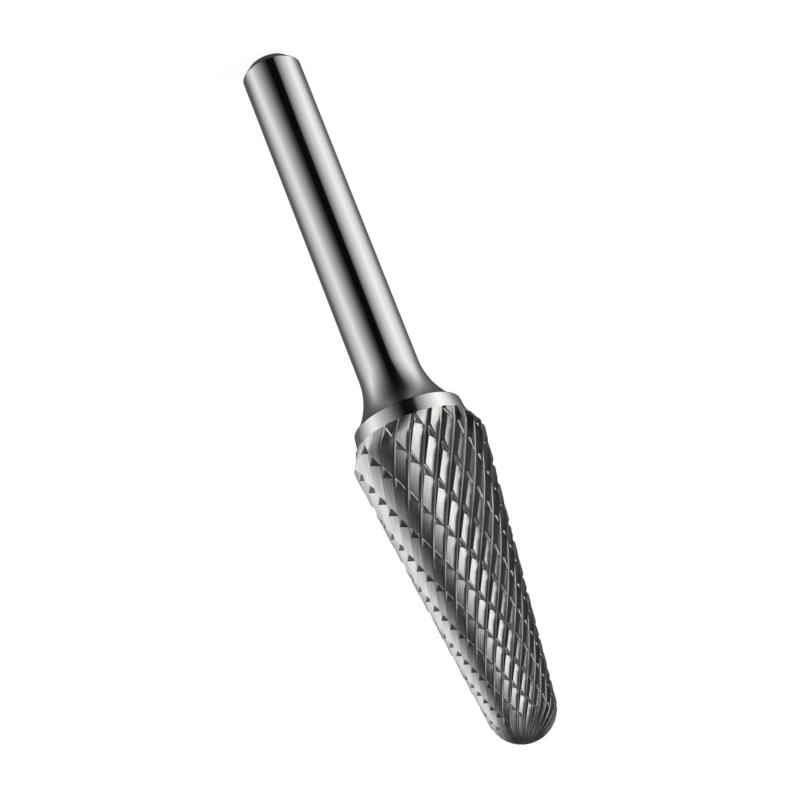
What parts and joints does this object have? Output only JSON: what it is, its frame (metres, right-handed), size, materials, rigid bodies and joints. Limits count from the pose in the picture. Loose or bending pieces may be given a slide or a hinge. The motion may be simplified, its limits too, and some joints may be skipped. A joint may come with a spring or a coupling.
{
  "type": "carbide burr",
  "caption": "Tree-shaped carbide burr with a ball nose and a double-cut head, brazed to a straight round steel shank with a flared collar.",
  "frame": {"origin": "centre of the flat end of the shank, on the burr's axis", "axes": "+Z along the axis from the shank end to the ball nose; X and Y are square to it"},
  "size_m": [0.0128, 0.0128, 0.073],
  "materials": {
    "shank_steel": "hardened steel, ground and polished, with a satin turned flare and a ground collar",
    "carbide": "ground tungsten carbide, bright on the tooth backs and darker in the gullets"
  },
  "bodies": {
    "root": {"shank": "shank_steel", "cutting_head": "carbide"}
  },
  "joints": []
}
